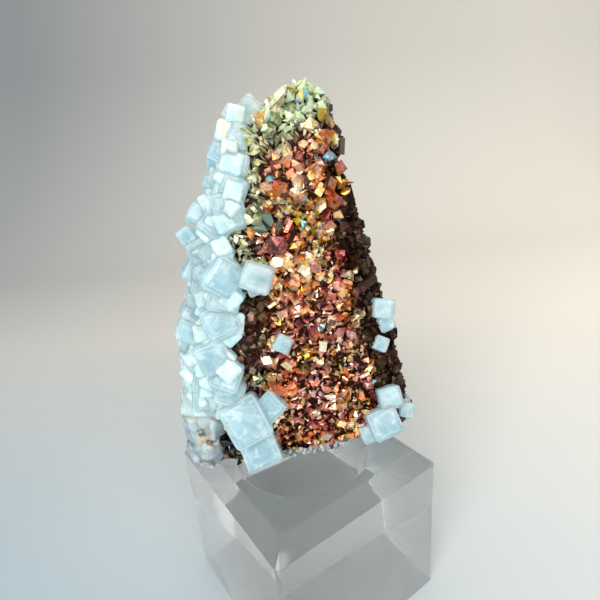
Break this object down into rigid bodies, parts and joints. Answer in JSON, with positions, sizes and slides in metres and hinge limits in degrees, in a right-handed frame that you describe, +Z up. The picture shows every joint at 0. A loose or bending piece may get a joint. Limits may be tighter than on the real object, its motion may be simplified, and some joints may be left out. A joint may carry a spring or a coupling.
{
  "type": "pyrite specimen on a display block",
  "caption": "Steep wedge of iridescent pyrite crystals with a side band of pale fluorite cubes, standing on a clear square display block with a dished top.",
  "frame": {"origin": "middle of the display block's underside", "axes": "+Z up; +X and +Y square to the block's sides; the specimen's broad face looks between -Y and -X, 25 degrees off -Y"},
  "size_m": [0.0497, 0.0412, 0.1109],
  "materials": {
    "clear_block": "polished clear acrylic, faintly grey-green",
    "pyrite": "bright metallic crystal faces tarnished copper red, magenta, gold and green, with frosted pale blue fluorite cubes"
  },
  "bodies": {
    "root": {"display_block": "clear_block", "pyrite_specimen": "pyrite"}
  },
  "joints": []
}
